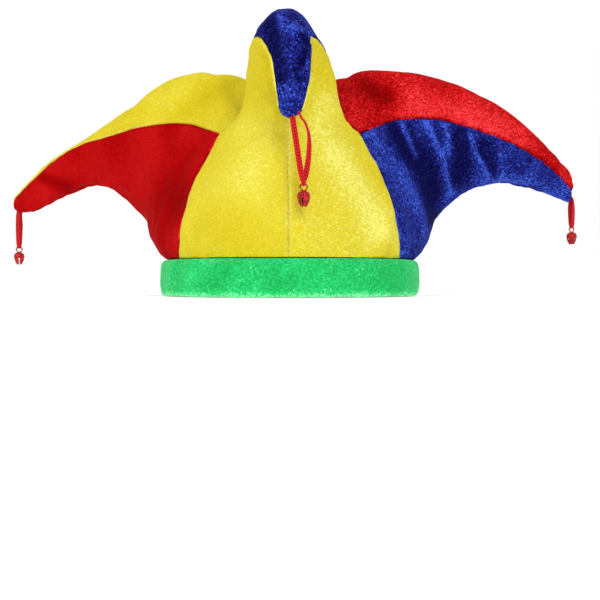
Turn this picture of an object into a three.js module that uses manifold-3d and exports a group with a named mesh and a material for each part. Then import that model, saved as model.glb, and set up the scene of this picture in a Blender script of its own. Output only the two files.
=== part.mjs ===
// Three-horned velvet jester hat: padded band, three panelled horns, lining, braid loops and jingle bells.
// Millimetres, Z up, the viewer looks along +Y. The rim lies at z = 0 and is centred on the Z axis until the last lines.
import * as THREE from "three";
import Module from "manifold-3d";

// Driving dimensions
const headGirth = 580;
const bandWall = 8;
const bandHeight = 28;
const liningRise = 108;
const hornReach = 272;
const frontReach = 119;
const hatHeight = 209;
const clothThickness = 2.5;
const liningThickness = 1.5;
const seamGap = 0.34;
const restGap = 0.3;
const liningClearance = 0.4;
const braidThickness = 2.6;
const bellWidth = 9.2;
const bellHeight = 10.9;
const bellWall = 0.8;
const loopWire = 1.1;
const loopOpening = 3.9;
const loopPlay = 0.55;
const slitWidth = 0.9;
const slitHoleRadius = 0.9;
const slitRise = 4.9;
const frontLoopDrop = 46.5;
const leftLoopDrop = 30.5;
const rightLoopDrop = 26.5;
const frontLoopBow = 3.65;
const sideLoopBow = 2.9;

// Sizes that follow from them
const headRadius = headGirth / (2 * Math.PI);
const bandRadius = headRadius + bandWall;
const footZ = bandHeight + restGap;
const crownRise = hatHeight - footZ;
const seamFoot = headRadius + liningClearance + clothThickness;
const DEG = Math.PI / 180;

// Upright seams between the outer panels: radius as a share of seamFoot, height as a share of crownRise above the foot
const SEAM = [
  { radius: 1.0, rise: 0.0 },
  { radius: 0.992, rise: 0.065 },
  { radius: 0.976, rise: 0.13 },
  { radius: 0.948, rise: 0.195 },
  { radius: 0.908, rise: 0.26 },
  { radius: 0.852, rise: 0.33 },
  { radius: 0.781, rise: 0.395 },
  { radius: 0.702, rise: 0.46 },
  { radius: 0.622, rise: 0.532 },
];
const junction = { radius: SEAM[8].radius * seamFoot, z: footZ + SEAM[8].rise * crownRise };
const CROWN_UP = 0.68;
const crownTop = footZ + CROWN_UP * crownRise;

// Each row is one section of a horn, from the band outwards. ridge: centre seam of the outer panel, as [out, up]. edge:
// seam between outer and inner panel, as [out, wide, up]. crest: middle of the inner panel, as [out, up]. out is a share
// of the horn's reach from the axis, up a share of crownRise above the foot, wide a share of headRadius from the horn's
// middle plane. bend: degrees round the section from ridge to edge. sway: share of headRadius to the horn's left, 0 where
// it isn't given. cloth: share of the cloth's thickness, 1 where it isn't given.
// The first nine rows follow the upright seams, so that they give only the ridge.
const FRONT = [
  { ridge: [0.824, 0.0], bend: 60 },
  { ridge: [0.838, 0.05], bend: 60 },
  { ridge: [0.838, 0.115], bend: 61 },
  { ridge: [0.828, 0.18], bend: 62 },
  { ridge: [0.81, 0.245], bend: 64 },
  { ridge: [0.784, 0.31], bend: 67 },
  { ridge: [0.752, 0.375], bend: 71 },
  { ridge: [0.715, 0.44], bend: 76 },
  { ridge: [0.678, 0.507], bend: 82 },
  { ridge: [0.634, 0.6], edge: [0.195, 0.398, 0.617], crest: [0.012, 0.755], bend: 99 },
  { ridge: [0.6, 0.672], edge: [0.2, 0.345, 0.702], crest: [0.04, 0.85], bend: 108, sway: 0.012 },
  { ridge: [0.584, 0.73], edge: [0.265, 0.33, 0.79], crest: [0.125, 0.928], bend: 110, sway: 0.01 },
  { ridge: [0.59, 0.768], edge: [0.385, 0.3, 0.846], crest: [0.255, 0.978], bend: 110, sway: -0.006 },
  { ridge: [0.622, 0.784], edge: [0.492, 0.255, 0.88], crest: [0.42, 1.0], bend: 112, sway: -0.03 },
  { ridge: [0.672, 0.776], edge: [0.612, 0.215, 0.876], crest: [0.6, 0.988], bend: 112, sway: -0.035 },
  { ridge: [0.722, 0.744], edge: [0.724, 0.182, 0.832], crest: [0.762, 0.938], bend: 112, sway: -0.005 },
  { ridge: [0.765, 0.694], edge: [0.806, 0.158, 0.762], crest: [0.878, 0.852], bend: 112, sway: 0.02, cloth: 0.95 },
  { ridge: [0.806, 0.636], edge: [0.862, 0.138, 0.684], crest: [0.948, 0.742], bend: 112, sway: 0.03, cloth: 0.85 },
  { ridge: [0.845, 0.582], edge: [0.9, 0.118, 0.61], crest: [0.982, 0.64], bend: 112, sway: 0.03, cloth: 0.75 },
  { ridge: [0.885, 0.54], edge: [0.925, 0.099, 0.56], crest: [0.985, 0.574], bend: 110, sway: 0.02, cloth: 0.6 },
  { ridge: [0.918, 0.52], edge: [0.94, 0.056, 0.526], crest: [0.968, 0.533], bend: 108, sway: 0.01, cloth: 0.36 },
];
const SIDE_FOOT = [
  { ridge: [0.36, 0.0], bend: 60 },
  { ridge: [0.402, 0.022], bend: 60 },
  { ridge: [0.429, 0.048], bend: 60 },
  { ridge: [0.449, 0.076], bend: 61 },
  { ridge: [0.462, 0.103], bend: 62 },
  { ridge: [0.479, 0.128], bend: 64 },
  { ridge: [0.494, 0.152], bend: 67 },
  { ridge: [0.507, 0.175], bend: 71 },
  { ridge: [0.52, 0.197], bend: 76 },
];
const LEFT = [
  ...SIDE_FOOT,
  { ridge: [0.537, 0.229], edge: [0.18, 0.475, 0.572], crest: [0.095, 0.775], bend: 88 },
  { ridge: [0.559, 0.268], edge: [0.257, 0.385, 0.602], crest: [0.2, 0.84], bend: 94 },
  { ridge: [0.585, 0.308], edge: [0.338, 0.325, 0.61], crest: [0.306, 0.85], bend: 98 },
  { ridge: [0.61, 0.341], edge: [0.419, 0.29, 0.602], crest: [0.404, 0.812], bend: 101 },
  { ridge: [0.648, 0.361], edge: [0.496, 0.268, 0.588], crest: [0.493, 0.729], bend: 104 },
  { ridge: [0.688, 0.36], edge: [0.569, 0.245, 0.567], crest: [0.577, 0.673], bend: 108 },
  { ridge: [0.732, 0.34], edge: [0.651, 0.21, 0.554], crest: [0.665, 0.606], bend: 114 },
  { ridge: [0.78, 0.314], edge: [0.738, 0.172, 0.515], crest: [0.754, 0.537], bend: 120 },
  { ridge: [0.838, 0.272], edge: [0.827, 0.14, 0.454], crest: [0.84, 0.472], bend: 122 },
  { ridge: [0.893, 0.238], edge: [0.897, 0.102, 0.374], crest: [0.908, 0.39], bend: 122, cloth: 0.9 },
  { ridge: [0.937, 0.231], edge: [0.95, 0.066, 0.316], crest: [0.962, 0.33], bend: 118, cloth: 0.65 },
  { ridge: [0.972, 0.25], edge: [0.979, 0.034, 0.28], crest: [0.984, 0.289], bend: 112, cloth: 0.36 },
];
const RIGHT = [
  ...SIDE_FOOT,
  { ridge: [0.537, 0.234], edge: [0.18, 0.475, 0.577], crest: [0.095, 0.775], bend: 88 },
  { ridge: [0.558, 0.275], edge: [0.257, 0.385, 0.612], crest: [0.2, 0.84], bend: 94 },
  { ridge: [0.582, 0.308], edge: [0.338, 0.325, 0.632], crest: [0.306, 0.856], bend: 97 },
  { ridge: [0.61, 0.334], edge: [0.419, 0.29, 0.634], crest: [0.41, 0.85], bend: 99 },
  { ridge: [0.65, 0.353], edge: [0.496, 0.272, 0.62], crest: [0.513, 0.826], bend: 100 },
  { ridge: [0.694, 0.364], edge: [0.574, 0.258, 0.596], crest: [0.61, 0.785], bend: 102 },
  { ridge: [0.738, 0.37], edge: [0.655, 0.244, 0.57], crest: [0.698, 0.73], bend: 104 },
  { ridge: [0.783, 0.364], edge: [0.735, 0.228, 0.532], crest: [0.787, 0.651], bend: 106 },
  { ridge: [0.838, 0.35], edge: [0.809, 0.2, 0.487], crest: [0.868, 0.569], bend: 108 },
  { ridge: [0.893, 0.326], edge: [0.875, 0.155, 0.445], crest: [0.934, 0.484], bend: 110, cloth: 0.9 },
  { ridge: [0.948, 0.307], edge: [0.934, 0.095, 0.392], crest: [0.982, 0.424], bend: 110, cloth: 0.65 },
  { ridge: [0.982, 0.312], edge: [0.985, 0.038, 0.335], crest: [1.0, 0.37], bend: 108, cloth: 0.36 },
];
const JOIN = SEAM.length - 1;

// A table's column at any place between its rows, smoothly
function along(rows, column, place) {
  const last = rows.length - 1;
  const at = Math.min(Math.max(place, 0), last);
  const k = Math.min(Math.floor(at), last - 1);
  const f = at - k;
  const value = (n) => rows[Math.min(Math.max(n, 0), last)][column];
  const ends = [k > 0 ? value(k - 1) : 2 * value(0) - value(1), value(k), value(k + 1)];
  ends.push(k + 2 <= last ? value(k + 2) : 2 * value(last) - value(last - 1));
  const [a, b, c, d] = ends;
  return 0.5 * (2 * b + (c - a) * f + (2 * a - 5 * b + 4 * c - d) * f * f + (3 * b - a - 3 * c + d) * f * f * f);
}

// One horn. azimuth: where its middle stands on the band. lean: how far it turns from there towards its tip, in degrees.
function makeHorn(azimuth, lean, reach, rows) {
  const turned = (place) => (azimuth + lean * THREE.MathUtils.smoothstep(place, JOIN, JOIN + 5)) * DEG;
  const toWorld = (place, out, wide, z) => {
    const a = turned(place);
    const sway = place > JOIN ? swayAt(place) : 0;
    const w = wide + sway;
    return new THREE.Vector3(out * Math.cos(a) - w * Math.sin(a), out * Math.sin(a) + w * Math.cos(a), z);
  };
  const seamRows = rows.map(({ ridge, edge, crest, bend, sway = 0, cloth = 1 }, n) => {
    const own = { ridgeOut: ridge[0], ridgeUp: ridge[1], bend, sway, cloth };
    if (n > JOIN) {
      const [edgeOut, edgeWide, edgeUp] = edge;
      const [crestOut, crestUp] = crest;
      return { ...own, edgeOut, edgeWide, edgeUp, crestOut, crestUp };
    }
    const radius = SEAM[n].radius * seamFoot;
    const edgeOut = (radius * Math.cos(60 * DEG)) / reach;
    const edgeWide = (radius * Math.sin(60 * DEG)) / headRadius;
    return { ...own, edgeOut, edgeWide, edgeUp: SEAM[n].rise, crestOut: 0, crestUp: CROWN_UP };
  });
  const swayAt = (place) => along(seamRows, "sway", place) * headRadius;
  const section = (place) => ({
    ridge: [along(seamRows, "ridgeOut", place) * reach, footZ + along(seamRows, "ridgeUp", place) * crownRise],
    edge: [along(seamRows, "edgeOut", place) * reach, footZ + along(seamRows, "edgeUp", place) * crownRise],
    wide: along(seamRows, "edgeWide", place) * headRadius,
    crest: [along(seamRows, "crestOut", place) * reach, footZ + along(seamRows, "crestUp", place) * crownRise],
    bend: along(seamRows, "bend", place) * DEG,
  });
  // share 0 is the ridge, 1 the edge; side is 1 or -1
  const face = (place, share, side) => {
    const s = section(place);
    const c = Math.cos(s.bend);
    const centre = [0, 1].map((n) => (s.edge[n] - s.ridge[n] * c) / (1 - c));
    const a = Math.sin((1 - share) * s.bend) / Math.sin(s.bend);
    const b = Math.sin(share * s.bend) / Math.sin(s.bend);
    const [out, z] = [0, 1].map((n) => centre[n] + (s.ridge[n] - centre[n]) * a + (s.edge[n] - centre[n]) * b);
    return toWorld(place, out, side * s.wide * b, z);
  };
  // share -1 and 1 are the edges, 0 the crest
  const top = (place, share) => {
    const s = section(place);
    const free = THREE.MathUtils.smoothstep(place, JOIN, JOIN + 3);
    const bend = Math.PI - s.bend;
    const c = Math.cos(bend);
    const centre = [0, 1].map((n) => (s.edge[n] - s.crest[n] * c) / (1 - c));
    const t = 1 - Math.abs(share);
    const a = THREE.MathUtils.lerp(1 - t, Math.sin((1 - t) * bend) / Math.sin(bend), free);
    const b = THREE.MathUtils.lerp(t, Math.sin(t * bend) / Math.sin(bend), free);
    const [out, z] = [0, 1].map((n) => centre[n] + (s.edge[n] - centre[n]) * a + (s.crest[n] - centre[n]) * b);
    return toWorld(place, out, Math.sign(share) * s.wide * a, z);
  };
  const cloth = (place) => clothThickness * along(seamRows, "cloth", place);
  return { azimuth, face, top, cloth, last: rows.length - 1 };
}

// Outward normal of a surface given as a function of two numbers
function normalOf(surface, u, v, turn) {
  const h = 1e-3;
  const du = surface(u + h, v).sub(surface(u - h, v));
  const dv = surface(u, v + h).sub(surface(u, v - h));
  return du.cross(dv).normalize().multiplyScalar(turn);
}

// Directions in which seams that neighbouring panels share are mitred
const meridian = (azimuth, out, up) => new THREE.Vector3(out * Math.cos(azimuth), out * Math.sin(azimuth), up);
function uprightNormal(azimuth, place) {
  const h = 0.05;
  const dr = (along(SEAM, "radius", place + h) - along(SEAM, "radius", place - h)) * seamFoot;
  const dz = (along(SEAM, "rise", place + h) - along(SEAM, "rise", place - h)) * crownRise;
  return meridian(azimuth, dz, -dr).normalize();
}
function valleyNormal(azimuth) {
  return meridian(azimuth, crownTop - junction.z, junction.radius).normalize();
}
function mitred(a, b) {
  const middle = a.clone().add(b).normalize();
  return middle.multiplyScalar(1 / Math.max(middle.dot(a), 0.6));
}
function junctionNormal(azimuth) {
  return mitred(uprightNormal(azimuth, JOIN), valleyNormal(azimuth));
}

// A closed solid between an outer and an inner grid of points. Each border is drawn in until it stands half the seam's gap
// from the seam's plane, which holds the border's own direction and that of the wall between the two grids.
function panelSolid(outer, inner, turn) {
  const rows = outer.length;
  const columns = outer[0].length;
  const draw = (grid, r, c) => {
    const point = grid[r][c].clone();
    const wall = inner[r][c].clone().sub(outer[r][c]);
    const step = (nr, nc, before, after) => {
      const plane = after.clone().sub(before).cross(wall).normalize();
      const way = grid[nr][nc].clone().sub(grid[r][c]);
      const length = way.length();
      const slant = Math.max(Math.abs(way.normalize().dot(plane)), 0.3);
      point.addScaledVector(way, Math.min(seamGap / 2 / slant, length * 0.45));
    };
    const lower = outer[Math.max(r - 1, 0)][c];
    const upper = outer[Math.min(r + 1, rows - 1)][c];
    if (c === 0) step(r, 1, lower, upper);
    if (c === columns - 1) step(r, columns - 2, lower, upper);
    if (r === 0) step(1, c, outer[0][Math.max(c - 1, 0)], outer[0][Math.min(c + 1, columns - 1)]);
    return point;
  };
  const points = [];
  for (const grid of [outer, inner])
    for (let r = 0; r < rows; r++) for (let c = 0; c < columns; c++) points.push(draw(grid, r, c));
  const at = (side, r, c) => side * rows * columns + r * columns + c;
  const index = [];
  const quad = (a, b, c, d) => (turn > 0 ? index.push(a, b, c, a, c, d) : index.push(a, c, b, a, d, c));
  for (let r = 0; r + 1 < rows; r++)
    for (let c = 0; c + 1 < columns; c++) {
      quad(at(0, r, c), at(0, r, c + 1), at(0, r + 1, c + 1), at(0, r + 1, c));
      quad(at(1, r, c), at(1, r + 1, c), at(1, r + 1, c + 1), at(1, r, c + 1));
    }
  for (let c = 0; c + 1 < columns; c++) {
    quad(at(0, 0, c), at(1, 0, c), at(1, 0, c + 1), at(0, 0, c + 1));
    quad(at(0, rows - 1, c), at(0, rows - 1, c + 1), at(1, rows - 1, c + 1), at(1, rows - 1, c));
  }
  for (let r = 0; r + 1 < rows; r++) {
    quad(at(0, r, 0), at(0, r + 1, 0), at(1, r + 1, 0), at(1, r, 0));
    quad(at(0, r, columns - 1), at(1, r, columns - 1), at(1, r + 1, columns - 1), at(0, r + 1, columns - 1));
  }
  return meshData(points, index);
}

function meshData(points, index) {
  const geometry = new THREE.BufferGeometry();
  geometry.setAttribute("position", new THREE.Float32BufferAttribute(points.flatMap((p) => [p.x, p.y, p.z]), 3));
  geometry.setIndex(index);
  geometry.computeVertexNormals();
  return geometry;
}

// Places along a horn at which the panels have their rows
const FOOT_PLACES = [0, 0.5, 1.2, 2.2, 3.4, 4.7, 6, 7];
const hornPlaces = (last) => {
  const steps = 15;
  return Array.from({ length: steps + 1 }, (_, n) => JOIN + ((last - JOIN) * n) / steps);
};

// Half of an outer panel: side 1 lies to the left of a person who looks out along the horn
function facePanel(horn, side) {
  const places = [...FOOT_PLACES, ...hornPlaces(horn.last)];
  const cells = 7;
  const seamAzimuth = (horn.azimuth + side * 60) * DEG;
  const outer = [];
  const inner = [];
  for (const place of places) {
    const thick = horn.cloth(place);
    const rowOut = [];
    const rowIn = [];
    for (let c = 0; c <= cells; c++) {
      const share = c / cells;
      const point = horn.face(place, share, side);
      let way = normalOf((u, v) => horn.face(u, v, side), place, share, -side);
      if (c === 0) way = mitred(way, normalOf((u, v) => horn.face(u, v, -side), place, share, side));
      if (c === cells && place < JOIN) way = mitred(uprightNormal(seamAzimuth, place), way);
      if (c === cells && place === JOIN) way = junctionNormal(seamAzimuth);
      if (c === cells && place > JOIN) way = mitred(way, normalOf((u, v) => horn.top(u, v), place, side * 0.999, 1));
      const under = point.clone().addScaledVector(way, -thick);
      if (place === 0) under.z = point.z;
      rowOut.push(point);
      rowIn.push(under);
    }
    outer.push(rowOut);
    inner.push(rowIn);
  }
  return panelSolid(outer, inner, side);
}

// A whole inner panel, from the two valley seams of the crown to the horn's tip
function topPanel(horn) {
  const places = hornPlaces(horn.last);
  const cells = 12;
  const outer = [];
  const inner = [];
  for (const place of places) {
    const thick = horn.cloth(place);
    const rowOut = [];
    const rowIn = [];
    for (let c = 0; c <= cells; c++) {
      const share = (2 * c) / cells - 1;
      const side = Math.sign(share);
      const seamAzimuth = (horn.azimuth + side * 60) * DEG;
      const point = horn.top(place, share);
      let way;
      if (place === JOIN) {
        way = c === 0 || c === cells ? junctionNormal(seamAzimuth) : new THREE.Vector3(0, 0, 1);
        if (share !== 0 && Math.abs(share) < 1) way = valleyNormal(seamAzimuth);
      } else if (c === 0 || c === cells) {
        const faceWay = normalOf((u, v) => horn.face(u, v, side), place, 1, -side);
        way = mitred(faceWay, normalOf((u, v) => horn.top(u, v), place, side * 0.999, 1));
      } else {
        way = normalOf((u, v) => horn.top(u, v), place, share === 0 ? 1e-3 : share, 1);
      }
      rowOut.push(point);
      rowIn.push(point.clone().addScaledVector(way, -thick));
    }
    outer.push(rowOut);
    inner.push(rowIn);
  }
  return panelSolid(outer, inner, -1);
}

// A solid turned round the Z axis from a closed outline of [radius, z]
function turnedRing(outline, steps) {
  const points = [];
  const index = [];
  const n = outline.length;
  for (let k = 0; k < steps; k++)
    for (const [r, z] of outline) {
      const a = (k * 2 * Math.PI) / steps;
      points.push(new THREE.Vector3(r * Math.cos(a), r * Math.sin(a), z));
    }
  for (let k = 0; k < steps; k++)
    for (let m = 0; m < n; m++) {
      const a = k * n + m;
      const b = k * n + ((m + 1) % n);
      const c = ((k + 1) % steps) * n + ((m + 1) % n);
      const d = ((k + 1) % steps) * n + m;
      index.push(a, d, c, a, c, b);
    }
  return meshData(points, index);
}

// Padded band: across is a share of the wall from its inside, up a share of its height
const BAND_OUTLINE = [
  { across: 0.26, up: 0.0 },
  { across: 0.72, up: 0.0 },
  { across: 0.9, up: 0.07 },
  { across: 0.99, up: 0.24 },
  { across: 1.0, up: 0.6 },
  { across: 0.93, up: 0.86 },
  { across: 0.82, up: 0.96 },
  { across: 0.68, up: 1.0 },
  { across: 0.05, up: 1.0 },
  { across: 0.0, up: 0.9 },
  { across: 0.04, up: 0.15 },
  { across: 0.12, up: 0.04 },
];
const BAND_SIDES = 44;
const bandGeometry = turnedRing(
  BAND_OUTLINE.map((row) => [headRadius + row.across * bandWall, row.up * bandHeight]),
  BAND_SIDES,
);

// Lining: a thin dome whose lower edge covers the top of the band's inside
const LINING_RINGS = 7;
const liningFoot = bandHeight * 0.86;
function liningGeometry() {
  const steps = 30;
  const points = [];
  const index = [];
  const ring = (thick, n) => {
    const angle = (n / LINING_RINGS) * 90 * DEG;
    const radius = (headRadius * Math.cos(Math.PI / BAND_SIDES) - restGap - thick) * Math.cos(angle);
    const z = liningFoot + (liningRise - thick) * Math.sin(angle);
    for (let k = 0; k < steps; k++) {
      const a = (k * 2 * Math.PI) / steps;
      points.push(new THREE.Vector3(radius * Math.cos(a), radius * Math.sin(a), z));
    }
  };
  for (const thick of [0, liningThickness]) {
    for (let n = 0; n < LINING_RINGS; n++) ring(thick, n);
    points.push(new THREE.Vector3(0, 0, liningFoot + liningRise - thick));
  }
  const layer = LINING_RINGS * steps + 1;
  for (let side = 0; side < 2; side++) {
    const base = side * layer;
    const add = (a, b, c) => (side === 0 ? index.push(a, b, c) : index.push(a, c, b));
    for (let k = 0; k < steps; k++) {
      const next = (k + 1) % steps;
      for (let n = 0; n + 1 < LINING_RINGS; n++) {
        const low = base + n * steps;
        add(low + k, low + next, low + steps + next);
        add(low + k, low + steps + next, low + steps + k);
      }
      const high = base + (LINING_RINGS - 1) * steps;
      add(high + k, high + next, base + layer - 1);
    }
  }
  for (let k = 0; k < steps; k++) {
    const next = (k + 1) % steps;
    index.push(k, layer + k, layer + next, k, layer + next, next);
  }
  return meshData(points, index);
}

// Braid loops. Each hangs from the lower side of its horn's tip and turns round the top of its bell's wire loop.
const turnRadius = (loopWire + braidThickness) / 2 + loopPlay;
// The two strands of a loop, from the horn's tip down to the bell: down is a share of the drop, aside a share of the bow
const FRONT_STRANDS = {
  straight: [
    { down: 0.0, aside: -2.05 },
    { down: 0.12, aside: -1.83 },
    { down: 0.28, aside: -1.5 },
    { down: 0.52, aside: -1.05 },
    { down: 0.76, aside: -0.62 },
  ],
  bowed: [
    { down: -0.031, aside: -0.6 },
    { down: 0.08, aside: 0.36 },
    { down: 0.26, aside: 0.98 },
    { down: 0.5, aside: 0.96 },
    { down: 0.76, aside: 0.6 },
  ],
};
const SIDE_STRANDS = {
  straight: [
    { down: 0.0, aside: -0.58 },
    { down: 0.3, aside: -0.72 },
    { down: 0.62, aside: -0.42 },
  ],
  bowed: [
    { down: 0.0, aside: 0.58 },
    { down: 0.3, aside: 0.86 },
    { down: 0.62, aside: 0.5 },
  ],
};
function braidPoints(top, { drop, bow, strands, spread, through }) {
  const place = (aside, along, down) => {
    const x = aside * Math.cos(spread * DEG) + along * Math.cos(through * DEG);
    const y = aside * Math.sin(spread * DEG) + along * Math.sin(through * DEG);
    return new THREE.Vector3(top.x + x, top.y + y, top.z - down);
  };
  const strand = (rows, side) => rows.map((row) => place(row.aside * bow, side * row.down * turnRadius, row.down * drop));
  const turn = [90, 54, 27, 0, -27, -54, -90].map((deg) => {
    const a = deg * DEG;
    return place(0, -turnRadius * Math.sin(a), drop - turnRadius + turnRadius * Math.cos(a));
  });
  return [...strand(strands.straight, -1), ...turn, ...strand(strands.bowed, 1).reverse()];
}

function braidGeometry(points) {
  const path = new THREE.CatmullRomCurve3(points);
  const steps = Math.round(path.getLength() / (1.4 * braidThickness));
  const disc = new THREE.Shape();
  for (let k = 0; k < 8; k++) {
    const a = (k * Math.PI) / 4;
    const [x, y] = [(Math.cos(a) * braidThickness) / 2, (Math.sin(a) * braidThickness) / 2];
    if (k === 0) disc.moveTo(x, y);
    else disc.lineTo(x, y);
  }
  return new THREE.ExtrudeGeometry(disc, { steps, curveSegments: 1, extrudePath: path });
}

// Jingle bell: dome, widest a third of the way down, tapering to a narrower flat bottom; a wire loop stands on the dome
const BELL_OUTLINE = [
  { wide: 0.36, up: 0.0 },
  { wide: 0.5, up: 0.03 },
  { wide: 0.78, up: 0.24 },
  { wide: 0.98, up: 0.56 },
  { wide: 1.0, up: 0.66 },
  { wide: 0.9, up: 0.82 },
  { wide: 0.62, up: 0.95 },
  { wide: 0.26, up: 1.0 },
];
const loopRise = bellHeight + loopOpening / 2 + loopWire * 0.35;
const wasm = await Module();
wasm.setup();
const { Manifold } = wasm;
function bellGeometry() {
  const sides = 10;
  const half = bellWidth / 2;
  const skin = [[0, 0], ...BELL_OUTLINE.map((row) => [row.wide * half, row.up * bellHeight]), [0, bellHeight]];
  const room = bellHeight - 2 * bellWall;
  const inner = BELL_OUTLINE.filter((row) => row.up > 0.1 && row.up < 0.9);
  const hollow = [
    [0, bellWall],
    [0.3 * half, bellWall],
    ...inner.map((row) => [row.wide * half - bellWall, bellWall + row.up * room]),
    [0.3 * half, bellHeight - bellWall],
    [0, bellHeight - bellWall],
  ];
  let bell = Manifold.revolve([skin], sides).subtract(Manifold.revolve([hollow], sides));
  for (const turn of [0, 90]) {
    bell = bell.subtract(Manifold.cube([bellWidth * 1.1, slitWidth, slitRise * 2], true).rotate([0, 0, turn]));
  }
  for (const turn of [0, 90, 180, 270]) {
    const drill = Manifold.cylinder(bellWidth, slitHoleRadius, slitHoleRadius, 6).rotate([0, 90, 0]);
    bell = bell.subtract(drill.translate([0.5, 0, slitRise]).rotate([0, 0, turn]));
  }
  const wire = [0, 1, 2, 3, 4].map((k) => {
    const a = (k + 0.5) * 72 * DEG;
    return [(loopOpening + loopWire + Math.cos(a) * loopWire) / 2, (Math.sin(a) * loopWire) / 2];
  });
  bell = bell.add(Manifold.revolve([wire], 12).rotate([90, 0, 0]).translate([0, 0, loopRise]));
  const mesh = bell.getMesh();
  const points = [];
  for (let k = 0; k < mesh.vertProperties.length; k += mesh.numProp) {
    points.push(new THREE.Vector3(...mesh.vertProperties.slice(k, k + 3)));
  }
  return meshData(points, Array.from(mesh.triVerts));
}

// Assembly
const group = new THREE.Group();
group.name = "jester_hat";
function add(name, geometry, color, roughness) {
  const mesh = new THREE.Mesh(geometry, new THREE.MeshStandardMaterial({ color, roughness, name: `${name}_finish` }));
  mesh.name = name;
  group.add(mesh);
  return mesh;
}
const YELLOW = 0xe8d42d;
const RED = 0xbe050c;
const BLUE = 0x161678;
const GREEN = 0x23b95f;
const BRAID = 0xb4060c;
const PAINT = 0xb80a10;
const LINING = 0x191418;

const front = makeHorn(-90, 0, frontReach, FRONT);
const left = makeHorn(150, 8, hornReach, LEFT);
const right = makeHorn(30, -8, hornReach, RIGHT);

add("band", bandGeometry, GREEN, 0.9);
add("front_horn_face_left", facePanel(front, -1), YELLOW, 0.9);
add("front_horn_face_right", facePanel(front, 1), YELLOW, 0.9);
add("front_horn_back", topPanel(front), BLUE, 0.9);
add("left_horn_face_front", facePanel(left, 1), RED, 0.9);
add("left_horn_face_back", facePanel(left, -1), RED, 0.9);
add("left_horn_top", topPanel(left), YELLOW, 0.9);
add("right_horn_face_front", facePanel(right, -1), BLUE, 0.9);
add("right_horn_face_back", facePanel(right, 1), BLUE, 0.9);
add("right_horn_top", topPanel(right), RED, 0.9);
add("lining", liningGeometry(), LINING, 1);

// Hanging loops: back is how many rows before the tip's end the loop hangs from, aside and lift move it from there as
// shares of braidThickness, drop reaches down to the middle of the bell's wire loop, bow is how far the strands stand
// out, and spread and through are the ways in which they spread and pass the wire loop, in degrees from the viewer's right
const HANGING = [
  {
    name: "front", horn: front, back: 0.25, aside: 3.56, lift: -0.33,
    drop: frontLoopDrop, bow: frontLoopBow, strands: FRONT_STRANDS, spread: 0, through: 90,
  },
  {
    name: "left", horn: left, back: 0.6, aside: 0, lift: -0.25,
    drop: leftLoopDrop, bow: sideLoopBow, strands: SIDE_STRANDS, spread: 78, through: 78,
  },
  {
    name: "right", horn: right, back: 0.1, aside: 0.58, lift: -0.1,
    drop: rightLoopDrop, bow: sideLoopBow, strands: SIDE_STRANDS, spread: -72, through: -72,
  },
];
for (const row of HANGING) {
  const top = row.horn.face(row.horn.last - row.back, 0, 1);
  top.x += row.aside * braidThickness;
  top.z += row.lift * braidThickness - restGap;
  add(`${row.name}_ribbon`, braidGeometry(braidPoints(top, row)), BRAID, 0.8);
  const bell = add(`${row.name}_bell`, bellGeometry(), PAINT, 0.35);
  bell.geometry.rotateZ((row.through + 90) * DEG);
  bell.geometry.translate(top.x, top.y, top.z - row.drop - loopRise);
}

// The origin lies under the middle of the hat without what hangs from it
const box = new THREE.Box3();
for (const mesh of group.children) if (!/ribbon|bell/.test(mesh.name)) box.expandByObject(mesh);
const middle = box.getCenter(new THREE.Vector3());
for (const mesh of group.children) mesh.geometry.translate(-middle.x, -middle.y, -box.min.z);

export default group;
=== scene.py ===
import math

import bmesh
import bpy
import numpy as np
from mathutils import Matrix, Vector, kdtree, noise


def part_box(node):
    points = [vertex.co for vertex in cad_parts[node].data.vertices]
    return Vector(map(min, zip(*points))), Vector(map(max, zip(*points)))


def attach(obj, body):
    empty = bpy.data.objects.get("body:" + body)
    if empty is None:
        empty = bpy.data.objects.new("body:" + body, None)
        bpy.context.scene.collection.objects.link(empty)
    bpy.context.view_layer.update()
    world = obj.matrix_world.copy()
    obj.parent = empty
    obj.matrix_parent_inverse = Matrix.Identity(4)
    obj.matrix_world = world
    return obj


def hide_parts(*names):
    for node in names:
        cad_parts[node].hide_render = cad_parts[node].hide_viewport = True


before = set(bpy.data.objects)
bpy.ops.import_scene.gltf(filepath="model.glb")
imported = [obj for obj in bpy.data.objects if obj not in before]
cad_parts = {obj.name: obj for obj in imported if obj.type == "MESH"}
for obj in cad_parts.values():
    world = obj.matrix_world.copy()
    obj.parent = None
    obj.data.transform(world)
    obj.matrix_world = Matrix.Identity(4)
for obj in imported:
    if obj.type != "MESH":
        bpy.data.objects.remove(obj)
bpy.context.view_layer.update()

# The viewer and the place the hat stands in.
# The hat keeps its form on a plain white floor. The viewer stands square in front of it, low above the
# floor, with a normal lens, so that the hat fills the upper half of the picture.
VIEW_DISTANCE = 0.780
VIEW_HEIGHT = 0.012
VIEW_SIDE = 0.0060
VIEW_PITCH = math.radians(-1.1)
LENS = 60.0
PAPER_SIZE = 6.0
PAPER_MIDDLE = 1.4
PAPER_BACK = 2.9
PAPER_RISE = 4.0
PAPER_BEND = 1.5
PAPER_GLOW = 0.3
LIGHT_TARGET = Vector((0, 0, 0.1))
SKY_STRENGTH = 0.62
LIGHTS = [
    {"name": "key", "place": (0.5, -1.6, 1.2), "size": 1.2, "watts": 15},
    {"name": "fill", "place": (-1.3, -1.3, 0.9), "size": 1.6, "watts": 10},
    {"name": "top", "place": (0.0, 0.5, 1.7), "size": 1.4, "watts": 8},
]


def put(name, data):
    """Puts a new object that shows this data into the scene."""
    thing = bpy.data.objects.new(name, data)
    bpy.context.scene.collection.objects.link(thing)
    return thing


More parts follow.
